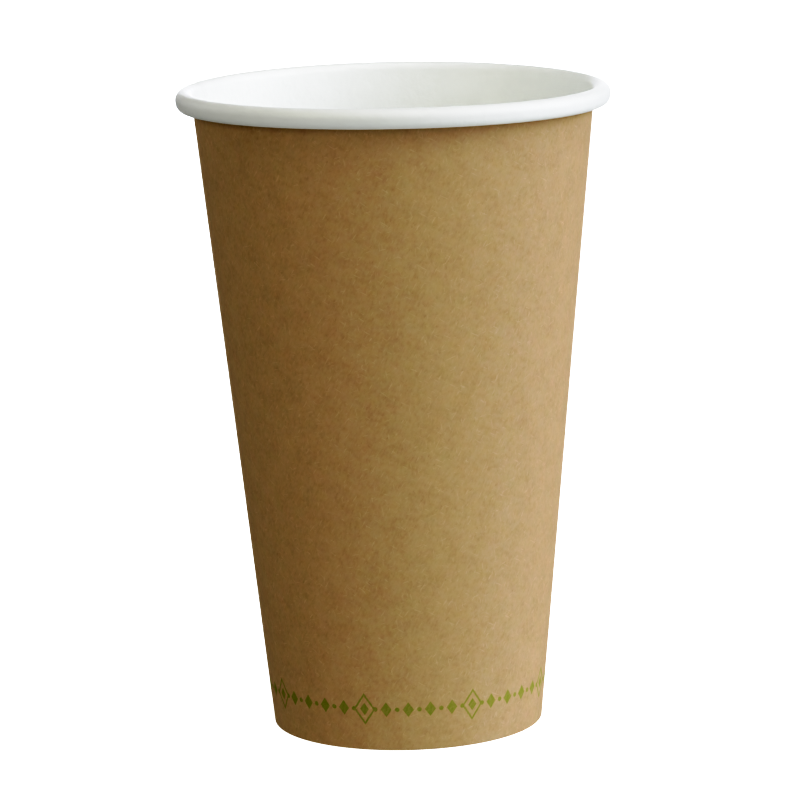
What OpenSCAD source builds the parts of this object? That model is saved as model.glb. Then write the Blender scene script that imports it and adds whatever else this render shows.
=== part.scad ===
// Single-wall paper cup for hot drinks, sixteen ounce size, made of two pieces of coated board.
// The side wall is one blank: its top is rolled outwards into a bead, its two ends overlap in a side seam,
// and its foot is folded inwards and up round the skirt of the floor.
// The origin is the centre of the foot, on the table, with +Z up.

/* [Cup] */
// Height from the table to the top of the rolled rim
cup_height = 135; // [115:1:160]
// Diameter over the rolled rim
rim_dia = 90; // [80:0.5:98]
// Diameter of the wall where its slope meets the table
base_dia = 56.5; // [50:0.5:66]
// Thickness of the side wall's board
wall_t = 0.35; // [0.25:0.01:0.45]
// Thickness of the floor's board
floor_t = 0.3; // [0.2:0.01:0.4]

/* [Rolled rim] */
// Width of the bead, across the rim
bead_w = 3.7; // [3.2:0.1:4.6]
// Straight side between the bead's upper and lower bends, which makes it taller than it is wide
bead_side = 0.6; // [0.1:0.1:1.5]
// How far the sheet goes on inside the bead after it has met the wall, in degrees
curl_tail = 120; // [30:5:150]
// Air between one turn of the bead and the next
coil_gap = 0.1; // [0.05:0.01:0.2]

/* [Foot] */
// Height of the floor's upper face above the table
floor_height = 9.5; // [8.5:0.5:14]
// Height of the hem that is folded up inside the foot
hem_height = 7; // [5:0.5:8]
// Inner radius of the two bends at the bottom of the hem
hem_bend_r = 0.05; // [0.03:0.01:0.1]
// Inner radius of the bend between the floor and its skirt
skirt_bend_r = 0.4; // [0.2:0.05:0.8]
// Film of coating between the layers of the foot
seal_gap = 0.03; // [0.02:0.01:0.05]
// Space between the skirt's lower edge and the bottom of the hem
skirt_edge_gap = 0.15; // [0.05:0.05:0.5]

/* [Side seam] */
// Direction of the overlap's outer edge, in degrees from +X towards +Y
seam_at = 175; // [0:1:359]
// Width of the overlap, halfway up
lap_w = 6; // [4:0.5:12]
// Width over which the upper layer climbs onto the lower one
ramp_w = 3.4; // [2.4:0.1:4.4]

/* [Hidden] */
$fn = 96;
rim_r = rim_dia / 2;
base_r = base_dia / 2;
// Half turns of the bead: each is tighter than the one before, so that the coil clears itself
turn_step = wall_t + coil_gap;
curl_r1 = bead_w / 2;
curl_r2 = curl_r1 - turn_step / 2;
curl_r3 = curl_r1 - turn_step;
// Centre of the bead's upper bend, and the slope of the wall that runs up into it
curl_x = rim_r - curl_r1;
curl_z = cup_height - curl_r1;
curl_far = norm([curl_x - base_r, curl_z]);
curl_in_r = curl_r1 - wall_t;
slope = atan((curl_x - base_r) / curl_z) - asin(curl_in_r / curl_far);
// Lengths along the slope, from where the outer face would meet the table
hem_r = hem_bend_r + wall_t;
wall_start = hem_r * tan((90 - slope) / 2);
wall_end = sqrt(curl_far * curl_far - curl_in_r * curl_in_r);
bead_under = wall_end - bead_side - curl_r2;
// The hem's bottom is as wide as the wall, the floor's skirt, the hem and the two seals between them
hem_flat = (2 * wall_t + floor_t + 2 * seal_gap - 2 * hem_r) / cos(slope);
hem_flap = (hem_height - hem_r * (1 + sin(slope))) / cos(slope);
// The floor reaches the wall's inner face, less the seal, and its skirt runs down beside it
skirt_r = skirt_bend_r + floor_t;
skirt_face = base_r * cos(slope) - wall_t - seal_gap;
floor_r = (skirt_face - skirt_r + (floor_height - skirt_r) * sin(slope)) / cos(slope);
skirt_top = floor_height - skirt_r - skirt_r * sin(slope);
skirt_len = (skirt_top - wall_t - skirt_edge_gap) / cos(slope);
// The seam's angles are taken halfway up the wall
mid_r = base_r + wall_end / 2 * sin(slope);
lap_angle = lap_w / mid_r * 180 / PI;
ramp_angle = ramp_w / mid_r * 180 / PI;
ramp_tilt = atan(wall_t / ramp_w - ramp_w / (2 * mid_r));
// Where two solids are joined or cut, one reaches this far into or past the other
over = 0.2;

// A strip of board in section, from here up along +Y with its thickness towards +X, and what follows it
module run(length, t) {
    square([t, length]);
    translate([0, length]) children();
}

// A bend of the strip towards +X, where outer is the radius of the strip's outer face, and what follows it
module bend(outer, angle, t) {
    reach = 2 * outer;
    translate([outer, 0]) {
        intersection() {
            difference() {
                circle(outer);
                circle(outer - t);
            }
            polygon([
                [0, 0],
                for (i = [0:3]) reach * [-cos(i * angle / 3), sin(i * angle / 3)]
            ]);
        }
        rotate(-angle) translate([-outer, 0]) children();
    }
}

// The foot of the wall, from its outer face down: under the skirt, then up inside it
module hem_section() {
    bend(hem_r, 90 - slope, wall_t)
        run(hem_flat, wall_t)
            bend(hem_r, 90 + slope, wall_t)
                run(hem_flap, wall_t);
}

// The bead, from the wall's inner face up: over, down, under, and up again inside itself
module curl_section() {
    bend(curl_r1, 180, wall_t)
        run(bead_side, wall_t)
            bend(curl_r2, 180, wall_t)
                run(bead_side, wall_t)
                    bend(curl_r3, curl_tail, wall_t);
}

// Places a section whose +Y runs up the slope of the wall, with its outer face at x = 0
module up_the_slope() {
    translate([base_r, 0]) rotate(-slope) children();
}

// Turns the seam to its place, with the overlap and then the ramp clockwise of the outer edge, seen from above
module at_seam() {
    rotate([0, 0, seam_at]) mirror([0, 1, 0]) children();
}

// Places a solid at the foot of the ramp: its +Z runs up the wall's outer face and its +X points outwards
module at_ramp() {
    rotate([0, 0, lap_angle + ramp_angle])
        translate([base_r, 0, 0])
            rotate([0, slope, 0])
                children();
}

// The upper layer of the side seam: a raw edge on one side, and a ramp down to the wall on the other
module lap() {
    difference() {
        rotate_extrude(angle = lap_angle + ramp_angle + 1)
            up_the_slope()
                translate([-wall_t / 2, wall_start + over])
                    square([wall_t * 1.5, bead_under - wall_start - over]);
        at_ramp() rotate([0, 0, ramp_tilt])
            translate([0, -2 * ramp_w, 0]) cube([4 * wall_t, 3 * ramp_w, wall_end + over]);
    }
}

// What the sheet leaves open inside the cup where it climbs: it ends at the lower layer's raw edge
module lap_recess() {
    at_ramp() translate([-wall_t, 0, 0]) rotate([0, 0, ramp_tilt])
        translate([-2 * wall_t, -ramp_w, hem_height])
            cube([2 * wall_t, ramp_w + over, wall_end - hem_height]);
}

module side_wall() {
    color([0.66, 0.5, 0.3]) difference() {
        union() {
            rotate_extrude() up_the_slope() {
                translate([-wall_t, wall_start]) run(wall_end - wall_start, wall_t) curl_section();
                translate([0, wall_start]) rotate(180) hem_section();
            }
            at_seam() lap();
        }
        at_seam() lap_recess();
    }
}

// The floor is a disc with its edge turned down into the hem
module floor_disc() {
    color([0.95, 0.95, 0.93]) rotate_extrude()
        translate([0, floor_height]) rotate(-90)
            run(floor_r, floor_t) bend(skirt_r, 90 + slope, floor_t) run(skirt_len, floor_t);
}

side_wall();
floor_disc();
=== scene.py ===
"""Paper cup for hot drinks: kraft board outside, white lining inside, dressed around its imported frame."""

import math

import bpy
from bpy.props import FloatProperty, FloatVectorProperty, IntProperty, PointerProperty
from mathutils import Euler, Matrix, Vector


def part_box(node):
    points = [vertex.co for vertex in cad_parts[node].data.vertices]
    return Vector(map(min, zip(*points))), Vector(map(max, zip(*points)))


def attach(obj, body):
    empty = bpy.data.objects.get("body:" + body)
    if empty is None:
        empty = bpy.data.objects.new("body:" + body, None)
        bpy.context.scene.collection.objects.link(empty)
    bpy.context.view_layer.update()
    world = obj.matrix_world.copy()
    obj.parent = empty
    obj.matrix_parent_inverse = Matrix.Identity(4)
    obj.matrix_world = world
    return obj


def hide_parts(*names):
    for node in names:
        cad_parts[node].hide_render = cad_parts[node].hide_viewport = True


bl_info = {
    "name": "Paper Cup",
    "version": (1, 0, 0),
    "blender": (4, 5, 0),
    "location": "View3D > Sidebar > Paper Cup",
    "description": "Makes a rolled and folded paper cup, with its board, its print and a small studio",
    "category": "Mesh",
}

MM = 0.001
FULL_TURN = 2 * math.pi
RIGHT_ANGLE = math.pi / 2

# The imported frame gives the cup's height and its width over the rolled rim
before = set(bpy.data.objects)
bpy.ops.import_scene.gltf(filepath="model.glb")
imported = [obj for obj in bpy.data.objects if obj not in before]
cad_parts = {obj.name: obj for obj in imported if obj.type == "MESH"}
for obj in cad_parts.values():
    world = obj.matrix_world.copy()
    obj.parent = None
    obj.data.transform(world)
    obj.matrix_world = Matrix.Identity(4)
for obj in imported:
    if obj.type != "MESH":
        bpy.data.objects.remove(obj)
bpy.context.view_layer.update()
WALL_LOW, WALL_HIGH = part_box("side_wall")


# Sizes, finishes and studio settings that a user may change

class CupSizes(bpy.types.PropertyGroup):
    height: FloatProperty(
        name="Height", description="From the table to the top of the rolled rim",
        default=WALL_HIGH.z, min=0.08, max=0.2, unit="LENGTH")
    rim_diameter: FloatProperty(
        name="Rim diameter", description="Over the rolled rim",
        default=WALL_HIGH.x - WALL_LOW.x, min=0.06, max=0.12, unit="LENGTH")
    foot_diameter: FloatProperty(
        name="Foot diameter", description="Where the slope of the wall meets the table",
        default=56.5 * MM, min=0.04, max=0.09, unit="LENGTH")
    board: FloatProperty(
        name="Board", description="Thickness of the side wall's board",
        default=0.35 * MM, min=0.2 * MM, max=0.6 * MM, unit="LENGTH", precision=5)
    floor_board: FloatProperty(
        name="Floor board", description="Thickness of the floor's board",
        default=0.3 * MM, min=0.2 * MM, max=0.6 * MM, unit="LENGTH", precision=5)
    bead_width: FloatProperty(
        name="Bead width", description="Width of the rolled rim's bead",
        default=3.7 * MM, min=2 * MM, max=6 * MM, unit="LENGTH", precision=5)
    bead_side: FloatProperty(
        name="Bead side", description="Straight side between the bead's upper and lower bends",
        default=0.6 * MM, min=0, max=2 * MM, unit="LENGTH", precision=5)
    coil_gap: FloatProperty(
        name="Coil gap", description="Air between one turn of the bead and the next",
        default=0.1 * MM, min=0, max=0.3 * MM, unit="LENGTH", precision=5)
    curl_tail: FloatProperty(
        name="Curl tail", description="How far the sheet goes on inside the bead after it has met the wall",
        default=math.radians(120), min=0.1, max=math.radians(150), subtype="ANGLE")
    fold_radius: FloatProperty(
        name="Fold radius", description="Inner radius of the two folds at the bottom of the hem",
        default=0.05 * MM, min=0, max=0.3 * MM, unit="LENGTH", precision=5)
    hem_height: FloatProperty(
        name="Hem height", description="Height of the hem that is folded up inside the foot",
        default=7 * MM, min=3 * MM, max=12 * MM, unit="LENGTH")
    floor_height: FloatProperty(
        name="Floor height", description="Height of the floor's upper face above the table",
        default=9.5 * MM, min=6 * MM, max=16 * MM, unit="LENGTH")
    skirt_radius: FloatProperty(
        name="Skirt bend", description="Inner radius of the bend between the floor and its skirt",
        default=0.4 * MM, min=0.1 * MM, max=1 * MM, unit="LENGTH", precision=5)
    skirt_gap: FloatProperty(
        name="Skirt gap", description="Space between the skirt's lower edge and the bottom of the hem",
        default=0.15 * MM, min=0, max=1 * MM, unit="LENGTH", precision=5)
    seal_gap: FloatProperty(
        name="Seal", description="Film of coating between the layers of the foot",
        default=0.03 * MM, min=0, max=0.1 * MM, unit="LENGTH", precision=5)
    seam_at: FloatProperty(
        name="Seam", description="Direction of the overlap's outer edge, from +X towards +Y",
        default=math.radians(175), subtype="ANGLE")
    lap_width: FloatProperty(
        name="Lap width", description="Width of the side seam's overlap, halfway up",
        default=6 * MM, min=3 * MM, max=12 * MM, unit="LENGTH")
    ramp_width: FloatProperty(
        name="Ramp width", description="Width over which the upper layer climbs onto the lower one",
        default=3.4 * MM, min=1 * MM, max=6 * MM, unit="LENGTH")
    crimp_depth: FloatProperty(
        name="Crimp depth", description="Depth of the crimp marks that close the hem onto the floor's skirt",
        default=0.11 * MM, min=0, max=0.3 * MM, unit="LENGTH", precision=5)
    rim_bow: FloatProperty(
        name="Rim bow", description="How far the sides of the rim lie below its front and back",
        default=0.36 * MM, min=0, max=1.5 * MM, unit="LENGTH", precision=5)
    rim_lean: FloatProperty(
        name="Rim lean", description="How far the rim's low side lies below its high side",
        default=0.66 * MM, min=0, max=1.5 * MM, unit="LENGTH", precision=5)
    high_side: FloatProperty(
        name="Rim's high side", description="Direction of the rim's high side, from +X towards +Y",
        default=math.radians(-141), subtype="ANGLE")


class CupFinish(bpy.types.PropertyGroup):
    kraft: FloatVectorProperty(
        name="Kraft", description="Colour of the board's unbleached outer face",
        default=(0.488, 0.362, 0.216), size=3, min=0, max=1, subtype="COLOR")
    kraft_dark: FloatVectorProperty(
        name="Kraft fibres", description="Colour of the darkest fibres in the kraft face",
        default=(0.253, 0.160, 0.075), size=3, min=0, max=1, subtype="COLOR")
    kraft_light: FloatVectorProperty(
        name="Kraft highlights", description="Colour of the palest fibres in the kraft face",
        default=(0.629, 0.500, 0.324), size=3, min=0, max=1, subtype="COLOR")
    lining: FloatVectorProperty(
        name="Lining", description="Colour of the coated white face",
        default=(0.787, 0.795, 0.757), size=3, min=0, max=1, subtype="COLOR")
    ink: FloatVectorProperty(
        name="Ink", description="Colour of the printed band, where the ink lies thick",
        default=(0.232, 0.285, 0.050), size=3, min=0, max=1, subtype="COLOR")
    band_height: FloatProperty(
        name="Band height", description="Height of the printed band's middle, along the wall",
        default=9 * MM, min=5 * MM, max=0.1, unit="LENGTH")
    band_units: IntProperty(
        name="Band units", description="How many small lozenges fit once round the cup",
        default=40, min=8, max=120)
    large_every: IntProperty(
        name="Large motif every",
        description="Every so many units a larger, framed lozenge stands in the band",
        default=5, min=2, max=40)


class CupStudio(bpy.types.PropertyGroup):
    distance: FloatProperty(
        name="Distance", description="From the camera to the middle of the cup",
        default=0.942, min=0.3, max=5, unit="LENGTH")
    elevation: FloatProperty(
        name="Elevation", description="How far the camera looks down",
        default=math.radians(10.755), subtype="ANGLE")
    roll: FloatProperty(
        name="Roll", description="How far the camera leans, which lifts the right end of the rim",
        default=math.radians(1.444), subtype="ANGLE")
    focal_px: FloatProperty(
        name="Focal length", description="Focal length in pixels of the 800 pixel frame",
        default=4499, min=500, max=20000)
    light_power: FloatProperty(
        name="Light power", description="Power of the strongest light panel, in watts",
        default=9.27, min=0, max=500)
    mouth_power: FloatProperty(
        name="Light into the cup", description="Power of the narrow beam down into the cup, in watts",
        default=0.033, min=0, max=5)
    room_light: FloatProperty(
        name="Room light", description="Strength of the light from all round",
        default=0.156, min=0, max=5)
    floor_glow: FloatProperty(
        name="Floor glow", description="Light of the pale floor's own, which keeps the background even",
        default=1.0, min=0, max=2)


# Node trees

class Bench:
    """A node tree in the making: each call adds a node, and joins or fills its inputs.

    Inputs go by number where a node has several of one name, as the Mix and Math nodes have.
    """

    def __init__(self, tree):
        self.tree = tree

    def node(self, kind, inputs=None, **settings):
        made = self.tree.nodes.new(kind)
        for name, value in settings.items():
            setattr(made, name, value)
        for key, value in (inputs or {}).items():
            if isinstance(value, bpy.types.NodeSocket):
                self.tree.links.new(value, made.inputs[key])
            else:
                made.inputs[key].default_value = value
        return made

    def math(self, operation, *values, clamp=False):
        made = self.node("ShaderNodeMath", dict(enumerate(values)), operation=operation, use_clamp=clamp)
        return made.outputs[0]

    def vector(self, operation, *values):
        made = self.node("ShaderNodeVectorMath", dict(enumerate(values)), operation=operation)
        return made.outputs["Vector"]

    def scale(self, vector, factor):
        made = self.node("ShaderNodeVectorMath", {0: vector, 3: factor}, operation="SCALE")
        return made.outputs["Vector"]

    def join(self, x, y, z=0.0):
        return self.node("ShaderNodeCombineXYZ", {0: x, 1: y, 2: z}).outputs[0]

    def split(self, vector):
        return self.node("ShaderNodeSeparateXYZ", {0: vector}).outputs[:3]

    def ramp(self, value, low, high, start=0.0, end=1.0, smooth=True):
        kind = "SMOOTHSTEP" if smooth else "LINEAR"
        made = self.node("ShaderNodeMapRange", {0: value, 1: low, 2: high, 3: start, 4: end},
                         interpolation_type=kind)
        return made.outputs[0]

    def mix(self, share, a, b):
        return self.node("ShaderNodeMix", {0: share, 2: a, 3: b}, data_type="FLOAT").outputs[0]

    def mix_colour(self, share, a, b):
        return self.node("ShaderNodeMix", {0: share, 6: a, 7: b}, data_type="RGBA").outputs[2]

    def noise(self, place, size, detail=2.0, roughness=0.5):
        """Noise between 0 and 1, whose lumps are about one size apart."""
        made = self.node("ShaderNodeTexNoise",
                         {"Vector": place, "Scale": 1 / size, "Detail": detail, "Roughness": roughness})
        return made.outputs["Fac"]


def new_material(name):
    """An empty material, the bench for its tree, and its shader."""
    material = bpy.data.materials.new(name)
    material.use_nodes = True
    tree = material.node_tree
    tree.nodes.clear()
    bench = Bench(tree)
    shader = bench.node("ShaderNodeBsdfPrincipled")
    bench.node("ShaderNodeOutputMaterial", {"Surface": shader.outputs[0]})
    return material, bench, shader


def opaque(colour):
    return (*colour, 1.0)


# The cup's form: how its board is rolled, folded and lapped

class CupForm:
    """Lengths and angles that follow from the cup's sizes, as in its construction."""

    def __init__(self, sizes):
        self.foot_r = sizes.foot_diameter / 2
        self.bead_r = [sizes.bead_width / 2 - turn * (sizes.board + sizes.coil_gap) / 2 for turn in range(3)]
        bead_x = sizes.rim_diameter / 2 - self.bead_r[0]
        bead_z = sizes.height - self.bead_r[0]
        reach = math.hypot(bead_x - self.foot_r, bead_z)
        bead_inner = self.bead_r[0] - sizes.board
        self.slope = math.atan((bead_x - self.foot_r) / bead_z) - math.asin(bead_inner / reach)
        self.fold_r = sizes.fold_radius + sizes.board
        self.wall_start = self.fold_r * math.tan((RIGHT_ANGLE - self.slope) / 2)
        self.wall_end = math.sqrt(reach ** 2 - bead_inner ** 2)
        self.bead_under = self.wall_end - sizes.bead_side - self.bead_r[1]
        hem_width = 2 * sizes.board + sizes.floor_board + 2 * sizes.seal_gap
        self.hem_flat = (hem_width - 2 * self.fold_r) / math.cos(self.slope)
        self.hem_flap = (sizes.hem_height - self.fold_r * (1 + math.sin(self.slope))) / math.cos(self.slope)
        skirt_r = sizes.skirt_radius + sizes.floor_board
        skirt_face = self.foot_r * math.cos(self.slope) - sizes.board - sizes.seal_gap
        rise = (sizes.floor_height - skirt_r) * math.sin(self.slope)
        self.floor_r = (skirt_face - skirt_r + rise) / math.cos(self.slope)
        skirt_top = sizes.floor_height - skirt_r - skirt_r * math.sin(self.slope)
        self.skirt_length = (skirt_top - sizes.board - sizes.skirt_gap) / math.cos(self.slope)
        self.apex = self.foot_r / math.sin(self.slope)
        middle_r = self.foot_r + self.wall_end / 2 * math.sin(self.slope)
        self.lap_angle = sizes.lap_width / middle_r
        self.ramp_angle = sizes.ramp_width / middle_r


class Strip:
    """The middle line of a strip of board in section, with its heading, walked from one end to the other.

    Each run and bend adds as many rows as it has pieces, and each row becomes a row of the mesh.
    """

    def __init__(self, x, z, heading, along=0.0):
        self.rows = [(x, z, heading, along)]

    def run(self, length, pieces=1):
        x, z, heading, along = self.rows[-1]
        for step in range(1, pieces + 1):
            way = length * step / pieces
            self.rows.append((x + way * math.cos(heading), z + way * math.sin(heading), heading, along + way))
        return self

    def bend(self, radius, angle, pieces):
        """Turns left where the angle is positive, and right where it is negative."""
        x, z, heading, along = self.rows[-1]
        side = math.copysign(RIGHT_ANGLE, angle)
        centre_x = x + radius * math.cos(heading + side)
        centre_z = z + radius * math.sin(heading + side)
        for step in range(1, pieces + 1):
            turned = angle * step / pieces
            out = heading + turned - side
            self.rows.append((centre_x + radius * math.cos(out), centre_z + radius * math.sin(out),
                              heading + turned, along + radius * abs(turned)))
        return self

    def reversed_rows(self):
        """The same rows walked the other way, with what lay ahead counted as negative."""
        start = self.rows[0][3]
        return [(x, z, heading + math.pi, 2 * start - along) for x, z, heading, along in reversed(self.rows)]


# Stretch at each end of the straight wall whose rows lie closer together
FINE_STRETCH = 5 * MM


def smooth_step(value, low, high):
    share = min(max((value - low) / (high - low), 0.0), 1.0)
    return share * share * (3 - 2 * share)


def wall_rows(sizes, form):
    """The side wall's section, from the hem's free edge round the foot, up the wall and into the bead."""
    half = sizes.board / 2
    up = RIGHT_ANGLE - form.slope
    # The middle line starts half a board in from the outer face, where the straight wall begins
    x = form.foot_r + form.wall_start * math.cos(up) - half * math.sin(up)
    z = form.wall_start * math.sin(up) + half * math.cos(up)
    foot = Strip(x, z, up - math.pi, form.wall_start)
    foot.bend(form.fold_r - half, form.slope - RIGHT_ANGLE, 6)
    foot.run(form.hem_flat, 2)
    foot.bend(form.fold_r - half, -form.slope - RIGHT_ANGLE, 6)
    foot.run(form.hem_flap, 12)
    wall = Strip(x, z, up, form.wall_start)
    wall.run(FINE_STRETCH, 4)
    wall.run(form.bead_under - form.wall_start - 2 * FINE_STRETCH, 12)
    wall.run(FINE_STRETCH, 4)
    wall.run(form.wall_end - form.bead_under, 3)
    wall.bend(form.bead_r[0] - half, -math.pi, 18)
    wall.run(sizes.bead_side, 1)
    wall.bend(form.bead_r[1] - half, -math.pi, 14)
    wall.run(sizes.bead_side, 1)
    wall.bend(form.bead_r[2] - half, -sizes.curl_tail, 7)
    return foot.reversed_rows()[:-1] + wall.rows


def floor_rows(sizes, form):
    """The floor's section, from the axis out to its edge and down its skirt."""
    half = sizes.floor_board / 2
    strip = Strip(0.0, sizes.floor_height - half, 0.0)
    strip.run(form.floor_r, 14)
    strip.bend(sizes.skirt_radius + half, -RIGHT_ANGLE - form.slope, 7)
    strip.run(form.skirt_length, 4)
    return strip.rows


# The seam's second layer is pressed flat in the foot's fold, and grows to its whole thickness between these
# two lengths up the wall
PRESSED_FOOT = (0.5 * MM, 6 * MM)
# In the bead it loses this share of its thickness, which starts this far below the bead
PRESSED_IN_BEAD = 0.4
PRESSED_BELOW_BEAD = 2 * MM
# Past this share of the bead's first full turn it thins out to nothing
PRESSED_TURN = 0.55


def lap_share(along, form):
    """How much of its thickness the seam's second layer keeps: all on the wall, less where it is pressed."""
    above_fold = smooth_step(along, *PRESSED_FOOT)
    in_bead = 1 - PRESSED_IN_BEAD * smooth_step(along, form.bead_under - PRESSED_BELOW_BEAD, form.wall_end)
    turn_length = math.pi * (form.bead_r[0] + form.bead_r[1])
    in_tail = 1 - smooth_step(along, form.wall_end + PRESSED_TURN * turn_length, form.wall_end + turn_length)
    return above_fold * in_bead * in_tail


# The crimps start this far from the flap's fold and from its free edge, and are full at the second distance
CRIMPS_FROM_FOLD = (0.5 * MM, 1.1 * MM)
CRIMPS_FROM_EDGE = (0.7 * MM, 1.4 * MM)


def crimp_share(along, form):
    """Where the hem is crimped: over most of its flap, which lies beyond its two folds."""
    past_fold = form.wall_start - math.pi * form.fold_r - form.hem_flat - along
    from_edge = form.hem_flap - past_fold
    return smooth_step(past_fold, *CRIMPS_FROM_FOLD) * smooth_step(from_edge, *CRIMPS_FROM_EDGE)


def section_object(name, rows, shares):
    """A helper whose points are the section's rows, with the values that the sweep reads from them."""
    mesh = bpy.data.meshes.new(name)
    mesh.from_pydata([(x, 0.0, z) for x, z, heading, along in rows], [], [])
    toward = mesh.attributes.new("toward_lining", "FLOAT_VECTOR", "POINT")
    for point, (x, z, heading, along) in zip(toward.data, rows):
        point.vector = (-math.sin(heading), 0.0, math.cos(heading))
    rules = {"along": lambda along: along, **shares}
    for key, rule in rules.items():
        # Each layer is filled before the next is made, because making one moves the others
        layer = mesh.attributes.new(key, "FLOAT", "POINT")
        for point, (x, z, heading, along) in zip(layer.data, rows):
            point.value = rule(along)
    helper = bpy.data.objects.new(name, mesh)
    bpy.context.scene.collection.objects.link(helper)
    return helper


SWEEP_INPUTS = [
    ("Section", "NodeSocketObject"),
    ("Board", "NodeSocketFloat"),
    ("Columns", "NodeSocketInt"),
    ("Rows", "NodeSocketInt"),
    ("Start Angle", "NodeSocketFloat"),
    ("Sheet Angle", "NodeSocketFloat"),
    ("Lap Angle", "NodeSocketFloat"),
    ("Ramp Angle", "NodeSocketFloat"),
    ("Glue", "NodeSocketFloat"),
    ("Crimp Depth", "NodeSocketFloat"),
    ("Crimp Columns", "NodeSocketFloat"),
    ("Rim Bow", "NodeSocketFloat"),
    ("Rim Lean", "NodeSocketFloat"),
    ("High Side", "NodeSocketFloat"),
    ("Apex", "NodeSocketFloat"),
    ("Slope", "NodeSocketFloat"),
    ("Front Angle", "NodeSocketFloat"),
    ("Outer Face", "NodeSocketMaterial"),
    ("Lining", "NodeSocketMaterial"),
    ("Cut Edge", "NodeSocketMaterial"),
]


# Points of a sheet nearer than this are one point, and folds sharper than this are creased
MERGE_WITHIN = 0.001 * MM
CREASE_ANGLE = math.radians(50)
# An angle too small to count, in radians
NO_ANGLE = 0.0001


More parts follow.
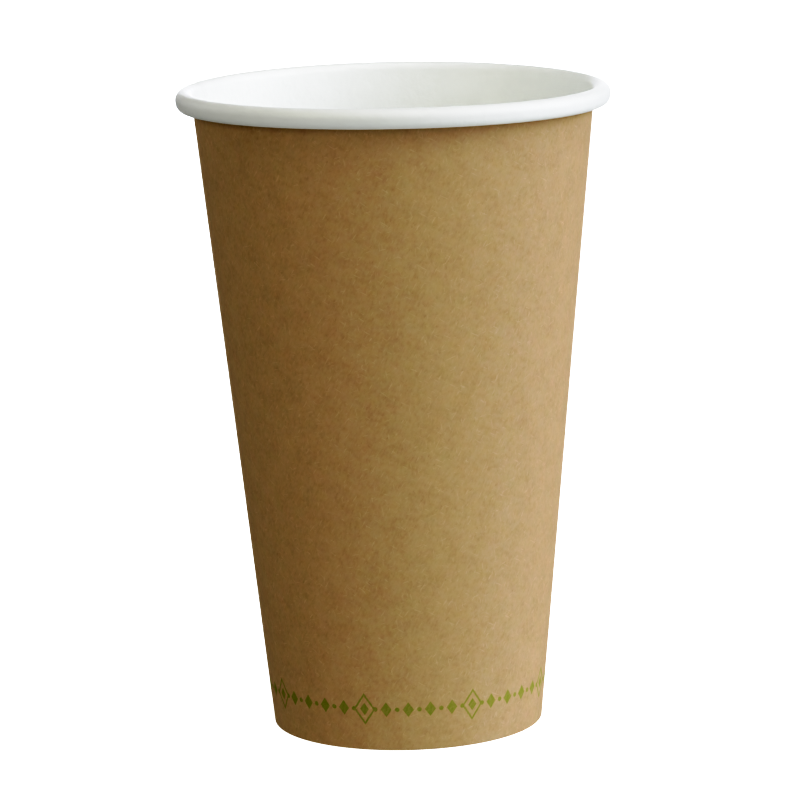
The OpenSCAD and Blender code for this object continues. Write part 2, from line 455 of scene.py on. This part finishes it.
def board_sweep_tree():
    """A tree that sweeps a sheet of board round the cup's axis, and laps its ends where it is an open sheet.

    A box of Columns by Rows cells and one cell of thickness is bent into shape: its X runs clockwise round
    the cup, its Y along the section and its Z through the board, from the outer face to the lining.
    """
    tree = bpy.data.node_groups.new("Board swept round", "GeometryNodeTree")
    for name, kind in SWEEP_INPUTS:
        tree.interface.new_socket(name, in_out="INPUT", socket_type=kind)
    tree.interface.new_socket("Mesh", in_out="OUTPUT", socket_type="NodeSocketGeometry")
    bench = Bench(tree)
    given = bench.node("NodeGroupInput").outputs
    section = bench.node("GeometryNodeObjectInfo", {"Object": given["Section"]}).outputs["Geometry"]

    columns = bench.math("ADD", given["Columns"], 1.0)
    rows = bench.math("ADD", given["Rows"], 1.0)
    box = bench.node("GeometryNodeMeshCube", {
        "Size": (1.0, 1.0, 1.0), "Vertices X": columns, "Vertices Y": rows, "Vertices Z": 2})
    centred = bench.node("GeometryNodeInputPosition").outputs[0]
    across, up, through = bench.split(bench.vector("ADD", centred, (0.5, 0.5, 0.5)))

    # Which faces are lining, cut edges or end walls is kept before the box is bent
    is_lining = bench.math("GREATER_THAN", through, 0.99)
    is_outer = bench.math("LESS_THAN", through, 0.01)
    is_edge = bench.math("SUBTRACT", bench.math("SUBTRACT", 1.0, is_lining), is_outer)
    from_centre = bench.math("ABSOLUTE", bench.math("SUBTRACT", across, 0.5))
    is_end = bench.math("GREATER_THAN", from_centre, 0.4999)
    marked = box.outputs["Mesh"]
    for name, value in (("lining_face", is_lining), ("cut_edge", is_edge), ("end_wall", is_end)):
        marked = bench.node("GeometryNodeStoreNamedAttribute",
                            {"Geometry": marked, "Name": name, "Value": value},
                            data_type="BOOLEAN", domain="FACE").outputs[0]

    # What the section says at this row
    row = bench.math("ROUND", bench.math("MULTIPLY", up, given["Rows"]))

    def at_row(name, kind):
        if name == "position":
            value = bench.node("GeometryNodeInputPosition").outputs[0]
        else:
            value = bench.node("GeometryNodeInputNamedAttribute", {"Name": name}, data_type=kind).outputs[0]
        taken = bench.node("GeometryNodeSampleIndex", {"Geometry": section, "Value": value, "Index": row},
                           data_type=kind, domain="POINT")
        return taken.outputs[0]

    middle = at_row("position", "FLOAT_VECTOR")
    toward_lining = at_row("toward_lining", "FLOAT_VECTOR")
    along = at_row("along", "FLOAT")
    kept = at_row("lap_share", "FLOAT")
    crimped = at_row("crimp_share", "FLOAT")
    bowed = at_row("bow_share", "FLOAT")

    # Depth through the board, in thicknesses below its outer face, with the lap's two layers apart
    sheet_angle = bench.math("MULTIPLY", across, given["Sheet Angle"])
    ramp_end = bench.math("ADD", given["Lap Angle"], given["Ramp Angle"])
    upper = bench.ramp(sheet_angle, given["Lap Angle"], ramp_end, 1.0, 0.0)
    lower = bench.math("GREATER_THAN", sheet_angle, FULL_TURN + NO_ANGLE)
    parting = bench.math("MULTIPLY", bench.math("SUBTRACT", 1.0, kept), 0.5)
    outer_upper = bench.math("MULTIPLY", bench.math("MULTIPLY", kept, upper), -1.0)
    outer_lower = bench.math("MULTIPLY", lower, bench.math("ADD", parting, given["Glue"]))
    half_crimp = bench.math("MULTIPLY", given["Crimp Columns"], 0.5)
    wave = bench.math("PINGPONG", bench.math("MULTIPLY", across, given["Columns"]), half_crimp)
    crest = bench.math("DIVIDE", wave, half_crimp)
    crimp = bench.math("MULTIPLY", bench.math("MULTIPLY", crest, crimped), given["Crimp Depth"])
    outer_depth = bench.math("SUBTRACT", bench.math("ADD", outer_upper, outer_lower), crimp)
    thinned = bench.math("ADD", bench.math("SUBTRACT", 1.0, parting), given["Glue"])
    lining_depth = bench.math("SUBTRACT", 1.0, bench.math("MULTIPLY", upper, thinned))
    depth = bench.mix(through, outer_depth, lining_depth)
    from_middle = bench.math("MULTIPLY", bench.math("SUBTRACT", depth, 0.5), given["Board"])
    radius, unused, height = bench.split(
        bench.vector("ADD", middle, bench.scale(toward_lining, from_middle)))

    # Round the axis, with the rim's slight bow and lean
    angle = bench.math("SUBTRACT", given["Start Angle"], sheet_angle)
    from_front = bench.math("SUBTRACT", angle, given["Front Angle"])
    sideways = bench.math("POWER", bench.math("ABSOLUTE", bench.math("SINE", from_front)), 2.0)
    from_high = bench.math("COSINE", bench.math("SUBTRACT", angle, given["High Side"]))
    leaning = bench.math("MULTIPLY", bench.math("SUBTRACT", 1.0, from_high), 0.5)
    sunk = bench.math("ADD", bench.math("MULTIPLY", sideways, given["Rim Bow"]),
                      bench.math("MULTIPLY", leaning, given["Rim Lean"]))
    sunk = bench.math("MULTIPLY", sunk, bowed)
    place = bench.join(bench.math("MULTIPLY", radius, bench.math("COSINE", angle)),
                       bench.math("MULTIPLY", radius, bench.math("SINE", angle)),
                       bench.math("SUBTRACT", height, sunk))

    # Two maps: the flat blank that the sheet was cut from, in metres, and turns from the front against height
    flat_angle = bench.math("MULTIPLY", sheet_angle, bench.math("SINE", given["Slope"]))
    flat_r = bench.math("ADD", along, given["Apex"])
    flat_x = bench.math("MULTIPLY", flat_r, bench.math("SINE", flat_angle))
    flat_y = bench.math("MULTIPLY", flat_r, bench.math("COSINE", flat_angle))
    blank = bench.join(flat_x, bench.math("SUBTRACT", flat_y, given["Apex"]))
    turns = bench.math("DIVIDE", from_front, FULL_TURN)
    maps = (("Blank", blank), ("Print", bench.join(turns, along)))
    mapped = marked
    for name, value in maps:
        mapped = bench.node("GeometryNodeStoreNamedAttribute",
                            {"Geometry": mapped, "Name": name, "Value": value},
                            data_type="FLOAT2", domain="CORNER").outputs[0]
    bent = bench.node("GeometryNodeSetPosition", {"Geometry": mapped, "Position": place}).outputs[0]

    # A closed sweep drops its two end walls and joins up; at the axis its cells close to a point
    def named(name):
        return bench.node("GeometryNodeInputNamedAttribute", {"Name": name}, data_type="BOOLEAN").outputs[0]

    closed = bench.math("LESS_THAN", given["Lap Angle"], NO_ANGLE)
    drop = bench.math("MULTIPLY", closed, named("end_wall"))
    ring = bench.node("GeometryNodeDeleteGeometry", {"Geometry": bent, "Selection": drop},
                      domain="FACE").outputs[0]
    joined = bench.node("GeometryNodeMergeByDistance", {"Geometry": ring, "Distance": MERGE_WITHIN})
    folded = bench.node("GeometryNodeSetShadeSmooth",
                        {"Geometry": joined.outputs[0], "Shade Smooth": True}, domain="FACE").outputs[0]
    fold = bench.node("GeometryNodeInputMeshEdgeAngle").outputs["Unsigned Angle"]
    sharp = bench.math("GREATER_THAN", fold, CREASE_ANGLE)
    creased = bench.node("GeometryNodeSetShadeSmooth",
                         {"Geometry": folded, 1: sharp, "Shade Smooth": False}, domain="EDGE").outputs[0]
    real = bench.node("GeometryNodeRealizeInstances", {"Geometry": creased}).outputs[0]
    dressed = bench.node("GeometryNodeSetMaterial", {"Geometry": real, "Material": given["Outer Face"]})
    for mark, material in (("lining_face", "Lining"), ("cut_edge", "Cut Edge")):
        dressed = bench.node("GeometryNodeSetMaterial", {
            "Geometry": dressed.outputs[0], "Selection": named(mark), "Material": given[material]})
    bench.node("NodeGroupOutput", {"Mesh": dressed.outputs[0]})
    return tree


def swept_board(name, helper, **inputs):
    """Runs the sweep on a section and returns its result as a plain mesh object."""
    tree = bpy.data.node_groups.get("Board swept round") or board_sweep_tree()
    carrier = bpy.data.objects.new(name, bpy.data.meshes.new(name))
    bpy.context.scene.collection.objects.link(carrier)
    modifier = carrier.modifiers.new("Board", "NODES")
    modifier.node_group = tree
    values = {key.replace("_", " ").title(): value for key, value in inputs.items()}
    values["Section"] = helper
    values["Rows"] = len(helper.data.vertices) - 1
    for socket in tree.interface.items_tree:
        if socket.in_out == "INPUT":
            modifier[socket.identifier] = values[socket.name]
    bpy.context.view_layer.update()
    evaluated = carrier.evaluated_get(bpy.context.evaluated_depsgraph_get())
    mesh = bpy.data.meshes.new_from_object(evaluated)
    mesh.name = name
    # The box's own empty slot comes first and holds no face
    if mesh.materials[0] is None:
        mesh.materials.pop(index=0)
    carrier.modifiers.remove(modifier)
    carrier.data = mesh
    bpy.data.objects.remove(helper)
    return carrier


# Materials

# Single fibres lie at all angles, in layers: turn from the grain in radians, stretch, threshold that thins
# the layer out, strength, and the name of its colour
KRAFT_FIBRES = (
    (0.15, 0.22, 0.700, 0.18, "kraft_dark"),
    (-0.35, 0.25, 0.705, 0.15, "kraft_dark"),
    (1.1, 0.25, 0.715, 0.14, "kraft_dark"),
    (-0.1, 0.12, 0.685, 0.36, "kraft_light"),
    (0.6, 0.13, 0.695, 0.32, "kraft_light"),
    (1.5, 0.12, 0.690, 0.34, "kraft_light"),
    (-0.8, 0.13, 0.695, 0.32, "kraft_light"),
)


# Sizes of the kraft face's unevenness, in mm, and how far its streaks are drawn out along the grain
CLOUDS, PATCHES, MOTTLE, STREAKS, FIBRE = 5.0, 3.2, 1.1, 0.42, 0.34
GRAIN_STRETCH = 0.32
# What each of them adds to the board's tone, and the range that the tone is spread over
CLOUDS_WEIGHT, MOTTLE_WEIGHT, STREAKS_WEIGHT = 0.45, 0.5, 0.5
TONE_RANGE = (0.25, 1.2)
# The patches tint the board by this base, plus this much of their own colour
PATCH_BASE = (0.935, 0.935, 0.905)
PATCH_SPREAD = (0.13, 0.13, 0.19)
# The patches read the noise from here on, clear of the other layers
PATCH_PLACE = (57.0, 23.0, 9.0)


def kraft_board_colour(bench, finish, blank_mm):
    """The kraft face's soft clouds, patches of tinted pulp, streaks along the grain, and single fibres."""
    grain = bench.vector("MULTIPLY", blank_mm, (1.0, GRAIN_STRETCH, 1.0))
    clouds = bench.noise(blank_mm, CLOUDS, detail=3.0, roughness=0.6)
    mottle = bench.noise(blank_mm, MOTTLE, detail=3.0, roughness=0.65)
    streaks = bench.noise(grain, STREAKS, detail=4.0, roughness=0.6)
    tone = bench.math("ADD", bench.math("MULTIPLY", clouds, CLOUDS_WEIGHT),
                      bench.math("MULTIPLY", mottle, MOTTLE_WEIGHT))
    tone = bench.math("ADD", tone, bench.math("MULTIPLY", streaks, STREAKS_WEIGHT))
    tone = bench.ramp(tone, *TONE_RANGE, smooth=False)
    darker = bench.math("SUBTRACT", 0.5, tone, clamp=True)
    paler = bench.math("SUBTRACT", tone, 0.5, clamp=True)
    board = bench.mix_colour(darker, opaque(finish.kraft), opaque(finish.kraft_dark))
    board = bench.mix_colour(paler, board, opaque(finish.kraft_light))

    # Patches of redder, greener and yellower pulp
    patch_place = bench.vector("ADD", blank_mm, PATCH_PLACE)
    patches = bench.node("ShaderNodeTexNoise", {
        "Vector": patch_place, "Scale": 1 / PATCHES, "Detail": 5.0, "Roughness": 0.74}).outputs["Color"]
    tint = bench.vector("MULTIPLY_ADD", patches, PATCH_SPREAD, PATCH_BASE)
    board = bench.vector("MULTIPLY", board, tint)

    for turn, stretch, threshold, strength, colour in KRAFT_FIBRES:
        turned = bench.node("ShaderNodeVectorRotate", {"Vector": blank_mm, "Angle": turn},
                            rotation_type="Z_AXIS").outputs[0]
        fibre_place = bench.vector("MULTIPLY", turned, (1.0, stretch, 1.0))
        # Each layer reads its own part of the noise
        fibre_place = bench.vector("ADD", fibre_place, (31.7 * turn, 7.3 + 11 * turn, 3.1))
        fibre = bench.ramp(bench.noise(fibre_place, FIBRE, detail=1.0), threshold, threshold + 0.05)
        fibre_share = bench.math("MULTIPLY", fibre, strength)
        board = bench.mix_colour(fibre_share, board, opaque(getattr(finish, colour)))
    return board, mottle, streaks


def kraft_material(finish):
    material, bench, shader = new_material("Kraft board, printed")
    blank = bench.node("ShaderNodeUVMap", uv_map="Blank").outputs[0]
    board, mottle, streaks = kraft_board_colour(bench, finish, bench.scale(blank, 1 / MM))
    inked, ink_share = printed_band(bench, finish, mottle, streaks)
    board = bench.mix_colour(ink_share, board, inked)
    bench.tree.links.new(board, shader.inputs["Base Color"])
    shader.inputs["Roughness"].default_value = 0.62
    shader.inputs["Specular IOR Level"].default_value = 0.45
    shader.inputs["Diffuse Roughness"].default_value = 0.3
    relief = bench.math("ADD", bench.math("MULTIPLY", streaks, 0.6), bench.math("MULTIPLY", mottle, 0.7))
    bump = bench.node("ShaderNodeBump", {"Height": relief, "Strength": 0.2, "Distance": 0.04 * MM})
    bench.tree.links.new(bump.outputs[0], shader.inputs["Normal"])
    return material


# The band's motifs: half width and half height of each lozenge and the radius of a dot, in mm, and half the
# thickness of a frame's line as a share of the frame
SMALL_LOZENGE = (1.15, 1.6)
FRAMED_LOZENGE = (0.95, 1.35)
FRAME = (2.1, 3.1)
DOT_RADIUS = 0.48
FRAME_HALF_LINE = 0.11
# How far the streaks fray the print's edges, and how far to each side an edge fades: shares of a lozenge,
# and mm for a dot
FRAY = 0.08
SOFT_EDGE = 0.05
# The ink's cover, from where it has sunk in to where it lies on top
COVER = (0.72, 0.95)
# Where fibres show through the ink, this much of its colour is the board's
THIN_INK_BOARD = 0.38


def lozenge(bench, x, y, half_width, half_height):
    """Below zero inside a lozenge and above zero outside it, as a share of the way from its middle."""
    side = bench.math("DIVIDE", bench.math("ABSOLUTE", x), half_width)
    rise = bench.math("DIVIDE", bench.math("ABSOLUTE", y), half_height)
    return bench.math("SUBTRACT", bench.math("ADD", side, rise), 1.0)


def printed_band(bench, finish, mottle, streaks):
    """Ink colour and its share: a row of small lozenges and dots, with a framed lozenge every few units."""
    turns, along, unused = bench.split(bench.node("ShaderNodeUVMap", uv_map="Print").outputs[0])
    sizes = bpy.context.scene.cup_sizes
    form = CupForm(sizes)
    band_r = form.foot_r + finish.band_height * math.sin(form.slope)
    unit_mm = FULL_TURN * band_r / finish.band_units / MM
    y = bench.math("DIVIDE", bench.math("SUBTRACT", along, finish.band_height), MM)
    # The front falls halfway between two framed lozenges
    counted = bench.math("ADD", bench.math("MULTIPLY", turns, finish.band_units), finish.large_every / 2)
    x = bench.math("MULTIPLY", bench.math("SUBTRACT", bench.math("FRACT", counted), 0.5), unit_mm)
    which = bench.math("FLOORED_MODULO", bench.math("FLOOR", counted), finish.large_every)
    is_large = bench.math("LESS_THAN", which, 0.5)
    small = lozenge(bench, x, y, *SMALL_LOZENGE)
    large_core = lozenge(bench, x, y, *FRAMED_LOZENGE)
    from_frame = bench.math("ABSOLUTE", lozenge(bench, x, y, *FRAME))
    large_frame = bench.math("SUBTRACT", from_frame, FRAME_HALF_LINE)
    large = bench.math("MINIMUM", large_core, large_frame)
    motif = bench.mix(is_large, small, large)
    between = bench.math("SUBTRACT", bench.math("FRACT", bench.math("ADD", counted, 0.5)), 0.5)
    dot = bench.math("SUBTRACT", bench.node(
        "ShaderNodeVectorMath", {0: bench.join(bench.math("MULTIPLY", between, unit_mm), y)},
        operation="LENGTH").outputs["Value"], DOT_RADIUS)
    shape = bench.math("MINIMUM", motif, dot)
    edge = bench.math("ADD", shape, bench.math("MULTIPLY", bench.math("SUBTRACT", streaks, 0.5), FRAY))
    share = bench.ramp(edge, -SOFT_EDGE, SOFT_EDGE, 1.0, 0.0)
    # The ink sinks in unevenly, and fibres show through it
    cover = bench.ramp(bench.math("ADD", mottle, streaks), 0.7, 1.35, *COVER)
    thin_ink = tuple((1 - THIN_INK_BOARD) * ink + THIN_INK_BOARD * board
                     for ink, board in zip(finish.ink, finish.kraft))
    ink = bench.mix_colour(bench.ramp(streaks, 0.35, 0.7), opaque(finish.ink), opaque(thin_ink))
    return ink, bench.math("MULTIPLY", share, cover)


# Sizes of the lining's unevenness and of the cut edge's fibres, in mm, and how high the lining's waves stand
LINING_CLOUDS, LINING_TOOTH, LINING_WAVES, CUT_FIBRES = 4.0, 0.5, 3.0, 0.25
WAVE_HEIGHT = 0.16 * MM
# The lining's clouds shade its colour by this much, and spread its roughness over this range
CLOUD_SHADE = 0.985
LINING_ROUGHNESS = (0.44, 0.50)


def lining_material(finish):
    """White board under a film of coating, which shows the board's grain as a faint unevenness."""
    material, bench, shader = new_material("White lining, coated")
    place = bench.node("ShaderNodeTexCoord").outputs["Object"]
    place_mm = bench.scale(place, 1 / MM)
    clouds = bench.noise(place_mm, LINING_CLOUDS, detail=3.0, roughness=0.55)
    tooth = bench.noise(place_mm, LINING_TOOTH, detail=3.0, roughness=0.6)
    shade = tuple(CLOUD_SHADE * part for part in finish.lining)
    colour = bench.mix_colour(bench.ramp(clouds, 0.35, 0.65), opaque(shade), opaque(finish.lining))
    bench.tree.links.new(colour, shader.inputs["Base Color"])
    dull = bench.ramp(clouds, 0.3, 0.7, *LINING_ROUGHNESS, smooth=False)
    bench.tree.links.new(dull, shader.inputs["Roughness"])
    shader.inputs["Specular IOR Level"].default_value = 0.4
    relief = bench.math("ADD", tooth, bench.math("MULTIPLY", clouds, 1.2))
    bump = bench.node("ShaderNodeBump", {"Height": relief, "Strength": 0.15, "Distance": 0.02 * MM})
    # Rolling and pressing leave the coated face a little wavy
    waves = bench.noise(place_mm, LINING_WAVES, detail=3.0, roughness=0.6)
    wavy = bench.node("ShaderNodeBump", {
        "Height": waves, "Strength": 1.0, "Distance": WAVE_HEIGHT, "Normal": bump.outputs[0]})
    bench.tree.links.new(wavy.outputs[0], shader.inputs["Normal"])
    return material


def cut_edge_material(finish):
    """The board's bare edge: pale fibres between the two faces."""
    material, bench, shader = new_material("Cut edge of the board")
    place_mm = bench.scale(bench.node("ShaderNodeTexCoord").outputs["Object"], 1 / MM)
    fibres = bench.noise(place_mm, CUT_FIBRES, detail=3.0, roughness=0.6)
    pale = tuple(0.5 * (board + white) for board, white in zip(finish.kraft_light, finish.lining))
    colour = bench.mix_colour(bench.ramp(fibres, 0.35, 0.65), opaque(finish.kraft), opaque(pale))
    bench.tree.links.new(colour, shader.inputs["Base Color"])
    shader.inputs["Roughness"].default_value = 0.85
    bump = bench.node("ShaderNodeBump", {"Height": fibres, "Strength": 0.4, "Distance": 0.05 * MM})
    bench.tree.links.new(bump.outputs[0], shader.inputs["Normal"])
    return material


def cup_material(make):
    """Makes a finish once, under its own name, and hands out the same one after that."""
    held = bpy.context.scene.get("cup_materials", {})
    name = held.get(make.__name__)
    if name is None:
        material = make(bpy.context.scene.cup_finish)
        bpy.context.scene["cup_materials"] = {**dict(held), make.__name__: material.name}
        return material
    return bpy.data.materials[name]


# The pieces

# Azimuth of the cup's front, which faces the camera
FRONT_ANGLE = -RIGHT_ANGLE
WALL_COLUMNS = 440
FLOOR_COLUMNS = 192
# Columns from one crimp to the next
CRIMP_COLUMNS = 4
# The rim's bow and lean grow from this share of the wall's length up to its whole
BOW_STARTS = 0.6
# Space between a seam's two layers, in thicknesses of the board
GLUE = 0.02


class CUP_OT_side_wall(bpy.types.Operator):
    """Rolls, folds and laps the side wall from one blank of board"""

    bl_idname = "cup.side_wall"
    bl_label = "Side Wall"

    def execute(self, context):
        sizes = context.scene.cup_sizes
        form = CupForm(sizes)
        helper = section_object("wall_section", wall_rows(sizes, form), {
            "lap_share": lambda along: lap_share(along, form),
            "crimp_share": lambda along: crimp_share(along, form),
            "bow_share": lambda along: smooth_step(along, BOW_STARTS * form.wall_end, form.wall_end),
        })
        wall = swept_board(
            "kraft_side_wall", helper,
            board=sizes.board, columns=WALL_COLUMNS,
            start_angle=sizes.seam_at, sheet_angle=FULL_TURN + form.lap_angle,
            lap_angle=form.lap_angle, ramp_angle=form.ramp_angle, glue=GLUE,
            crimp_depth=sizes.crimp_depth / sizes.board, crimp_columns=float(CRIMP_COLUMNS),
            rim_bow=sizes.rim_bow, rim_lean=sizes.rim_lean, high_side=sizes.high_side,
            apex=form.apex, slope=form.slope, front_angle=FRONT_ANGLE,
            outer_face=cup_material(kraft_material), lining=cup_material(lining_material),
            cut_edge=cup_material(cut_edge_material))
        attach(wall, "root")
        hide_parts("side_wall")
        return {"FINISHED"}


class CUP_OT_floor_disc(bpy.types.Operator):
    """Presses the floor from a disc of white board, with its edge turned down into a skirt"""

    bl_idname = "cup.floor_disc"
    bl_label = "Floor Disc"

    def execute(self, context):
        sizes = context.scene.cup_sizes
        form = CupForm(sizes)
        nowhere = {name: lambda along: 0.0 for name in ("lap_share", "crimp_share", "bow_share")}
        helper = section_object("floor_section", floor_rows(sizes, form), nowhere)
        lining = cup_material(lining_material)
        floor = swept_board(
            "white_floor_disc", helper,
            board=sizes.floor_board, columns=FLOOR_COLUMNS,
            start_angle=sizes.seam_at, sheet_angle=FULL_TURN,
            lap_angle=0.0, ramp_angle=0.0, glue=0.0,
            crimp_depth=0.0, crimp_columns=float(CRIMP_COLUMNS),
            rim_bow=0.0, rim_lean=0.0, high_side=0.0, apex=0.0, slope=0.0, front_angle=FRONT_ANGLE,
            outer_face=lining, lining=lining, cut_edge=cup_material(cut_edge_material))
        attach(floor, "root")
        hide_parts("floor_disc")
        return {"FINISHED"}


# The studio

# The picture's width, and where the middle of the cup falls in it
FRAME_PX = 800
MIDDLE_PX = (400.61, 403.28)
SENSOR_MM = 36
# Side of the studio's floor, in metres
FLOOR_SPAN = 12.0


def aim_camera(studio, middle):
    """A camera that looks down at the cup's middle, leaning a little, with no shift."""
    data = bpy.data.cameras.new("Studio camera")
    data.sensor_width = SENSOR_MM
    data.lens = SENSOR_MM * studio.focal_px / FRAME_PX
    data.clip_start = 0.05
    data.clip_end = 50
    camera = bpy.data.objects.new("Studio camera", data)
    bpy.context.scene.collection.objects.link(camera)
    down = studio.elevation
    camera.location = middle + studio.distance * Vector((0, -math.cos(down), math.sin(down)))
    level = Euler((RIGHT_ANGLE - down, 0, 0)).to_matrix()
    lean = Matrix.Rotation(-studio.roll, 3, "Z")
    yaw = math.atan((MIDDLE_PX[0] - FRAME_PX / 2) / studio.focal_px)
    pitch = math.atan((MIDDLE_PX[1] - FRAME_PX / 2) / studio.focal_px)
    nudge = Matrix.Rotation(yaw, 3, "Y") @ Matrix.Rotation(pitch, 3, "X")
    camera.rotation_euler = (level @ lean @ nudge).to_euler()
    bpy.context.scene.camera = camera


# Colours of the light: cool daylight, the warmer fill, and what the table throws back
COOL, WARM, TABLE = (0.864, 0.887, 1.0), (1.0, 0.982, 0.883), (0.952, 0.999, 1.0)

# Distance and side of the far and the near light panels, in metres
FAR, NEAR = (1.4, 0.7), (0.45, 0.35)

# Square light panels: azimuth from +X towards +Y and elevation, as seen from the cup's middle, distance and
# side, share of the light power, and colour
LIGHT_PANELS = {
    "Right": (0, 20, *FAR, 1.0, COOL),
    "High right": (0, 45, *FAR, 0.13, COOL),
    "High right, in front": (-25, 35, *FAR, 0.488, COOL),
    "Front": (-50, 10, *FAR, 0.384, COOL),
    "High front": (-70, 60, *FAR, 0.448, WARM),
    "Left front": (-140, 20, *FAR, 0.399, WARM),
    "Left, behind": (150, 20, *FAR, 0.218, COOL),
    "Back": (90, 0, *FAR, 0.959, COOL),
    "Bounce from the table, in front": (-90, -40, *NEAR, 0.03, TABLE),
    "Bounce from the table, right": (0, -60, *NEAR, 0.075, TABLE),
}


def soft_light(name, power, azimuth, elevation, distance, side, colour, middle):
    """A square area light that faces the cup's middle from one side, and that the camera doesn't see."""
    data = bpy.data.lights.new(name, "AREA")
    data.energy = power
    data.color = colour
    data.size = side
    light = bpy.data.objects.new(name, data)
    turn, rise = math.radians(azimuth), math.radians(elevation)
    out = Vector((math.cos(turn) * math.cos(rise), math.sin(turn) * math.cos(rise), math.sin(rise)))
    light.location = middle + distance * out
    light.rotation_euler = out.to_track_quat("Z", "Y").to_euler()
    light.visible_camera = False
    bpy.context.scene.collection.objects.link(light)


# The beam into the cup: height and width of its source in metres, and how far it fans out, in radians
BEAM_HEIGHT = 0.6
BEAM_WIDTH = 0.05
BEAM_SPREAD = 0.1


def mouth_light(power):
    """A narrow beam straight down into the cup, which lifts the shade inside without touching the rim."""
    data = bpy.data.lights.new("Down into the cup", "AREA")
    data.energy = power
    data.color = COOL
    data.shape = "DISK"
    data.size = BEAM_WIDTH
    data.spread = BEAM_SPREAD
    light = bpy.data.objects.new("Down into the cup", data)
    light.location = (0, 0, BEAM_HEIGHT)
    light.visible_camera = False
    bpy.context.scene.collection.objects.link(light)


def studio_floor(glow):
    """A large pale floor under the cup, which fills the picture's background."""
    mesh = bpy.data.meshes.new("studio_floor")
    half = FLOOR_SPAN / 2
    corners = [(-half, -half, 0), (half, -half, 0), (half, half, 0), (-half, half, 0)]
    mesh.from_pydata(corners, [], [(0, 1, 2, 3)])
    floor = bpy.data.objects.new("studio_floor", mesh)
    bpy.context.scene.collection.objects.link(floor)
    material, bench, shader = new_material("Studio floor")
    shader.inputs["Base Color"].default_value = (0.9, 0.9, 0.9, 1)
    shader.inputs["Roughness"].default_value = 0.9
    shader.inputs["Specular IOR Level"].default_value = 0.1
    shader.inputs["Emission Color"].default_value = (1, 1, 1, 1)
    shader.inputs["Emission Strength"].default_value = glow
    mesh.materials.append(material)
    # The panels under the table stand for its bounce, so the floor lets them through
    floor.visible_diffuse = False
    floor.visible_glossy = False
    floor.visible_shadow = False


def room_light(strength):
    """An even, weak light from all round, in front of a pale background."""
    world = bpy.data.worlds.new("Studio room")
    world.use_nodes = True
    tree = world.node_tree
    tree.nodes.clear()
    bench = Bench(tree)
    seen = bench.node("ShaderNodeLightPath").outputs["Is Camera Ray"]
    level = bench.mix(seen, strength, 1.0)
    pale = bench.node("ShaderNodeBackground", {"Color": (1, 1, 1, 1), "Strength": level})
    bench.node("ShaderNodeOutputWorld", {"Surface": pale.outputs[0]})
    bpy.context.scene.world = world


# The picture's tone, as a photograph's: shade is deepened and the middle lifted (light, shown brightness)
TONE_CURVE = (
    (0.0, 0.0), (0.08, 0.0091), (0.16, 0.075), (0.25, 0.2223),
    (0.4, 0.456), (0.65, 0.823), (1.0, 1.0),
)


def photographic_tone():
    """Sets the tone curve on the view, on top of the standard transform."""
    view = bpy.context.scene.view_settings
    view.view_transform = "Standard"
    view.use_curve_mapping = True
    # The fourth curve is the one for all channels together
    curve = view.curve_mapping.curves[3]
    curve.points[0].location = TONE_CURVE[0]
    curve.points[-1].location = TONE_CURVE[-1]
    for light, shown in TONE_CURVE[1:-1]:
        curve.points.new(light, shown)
    view.curve_mapping.update()


class CUP_OT_studio(bpy.types.Operator):
    """Sets a pale floor, soft lights and the camera"""

    bl_idname = "cup.studio"
    bl_label = "Studio"

    def execute(self, context):
        studio = context.scene.cup_studio
        middle = Vector((0, 0, context.scene.cup_sizes.height / 2))
        aim_camera(studio, middle)
        studio_floor(studio.floor_glow)
        room_light(studio.room_light)
        for name, (azimuth, elevation, distance, side, share, colour) in LIGHT_PANELS.items():
            soft_light(name, share * studio.light_power, azimuth, elevation, distance, side, colour, middle)
        mouth_light(studio.mouth_power)
        photographic_tone()
        return {"FINISHED"}


class CUP_PT_panel(bpy.types.Panel):
    """Lists the cup's pieces and its sizes"""

    bl_idname = "CUP_PT_panel"
    bl_label = "Paper Cup"
    bl_space_type = "VIEW_3D"
    bl_region_type = "UI"
    bl_category = "Paper Cup"

    def draw(self, context):
        for operator in OPERATORS:
            self.layout.operator(operator.bl_idname)
        for group in (context.scene.cup_sizes, context.scene.cup_finish, context.scene.cup_studio):
            box = self.layout.box()
            for name in group.__annotations__:
                box.prop(group, name)


OPERATORS = (CUP_OT_side_wall, CUP_OT_floor_disc, CUP_OT_studio)
GROUPS = {"cup_sizes": CupSizes, "cup_finish": CupFinish, "cup_studio": CupStudio}


def register():
    for kind in (*GROUPS.values(), *OPERATORS, CUP_PT_panel):
        bpy.utils.register_class(kind)
    for name, group in GROUPS.items():
        setattr(bpy.types.Scene, name, PointerProperty(type=group))


def unregister():
    for name in GROUPS:
        delattr(bpy.types.Scene, name)
    for kind in (CUP_PT_panel, *OPERATORS, *GROUPS.values()):
        bpy.utils.unregister_class(kind)


def main():
    register()
    bpy.ops.cup.side_wall()
    bpy.ops.cup.floor_disc()
    bpy.ops.cup.studio()


if __name__ == "__main__":
    main()
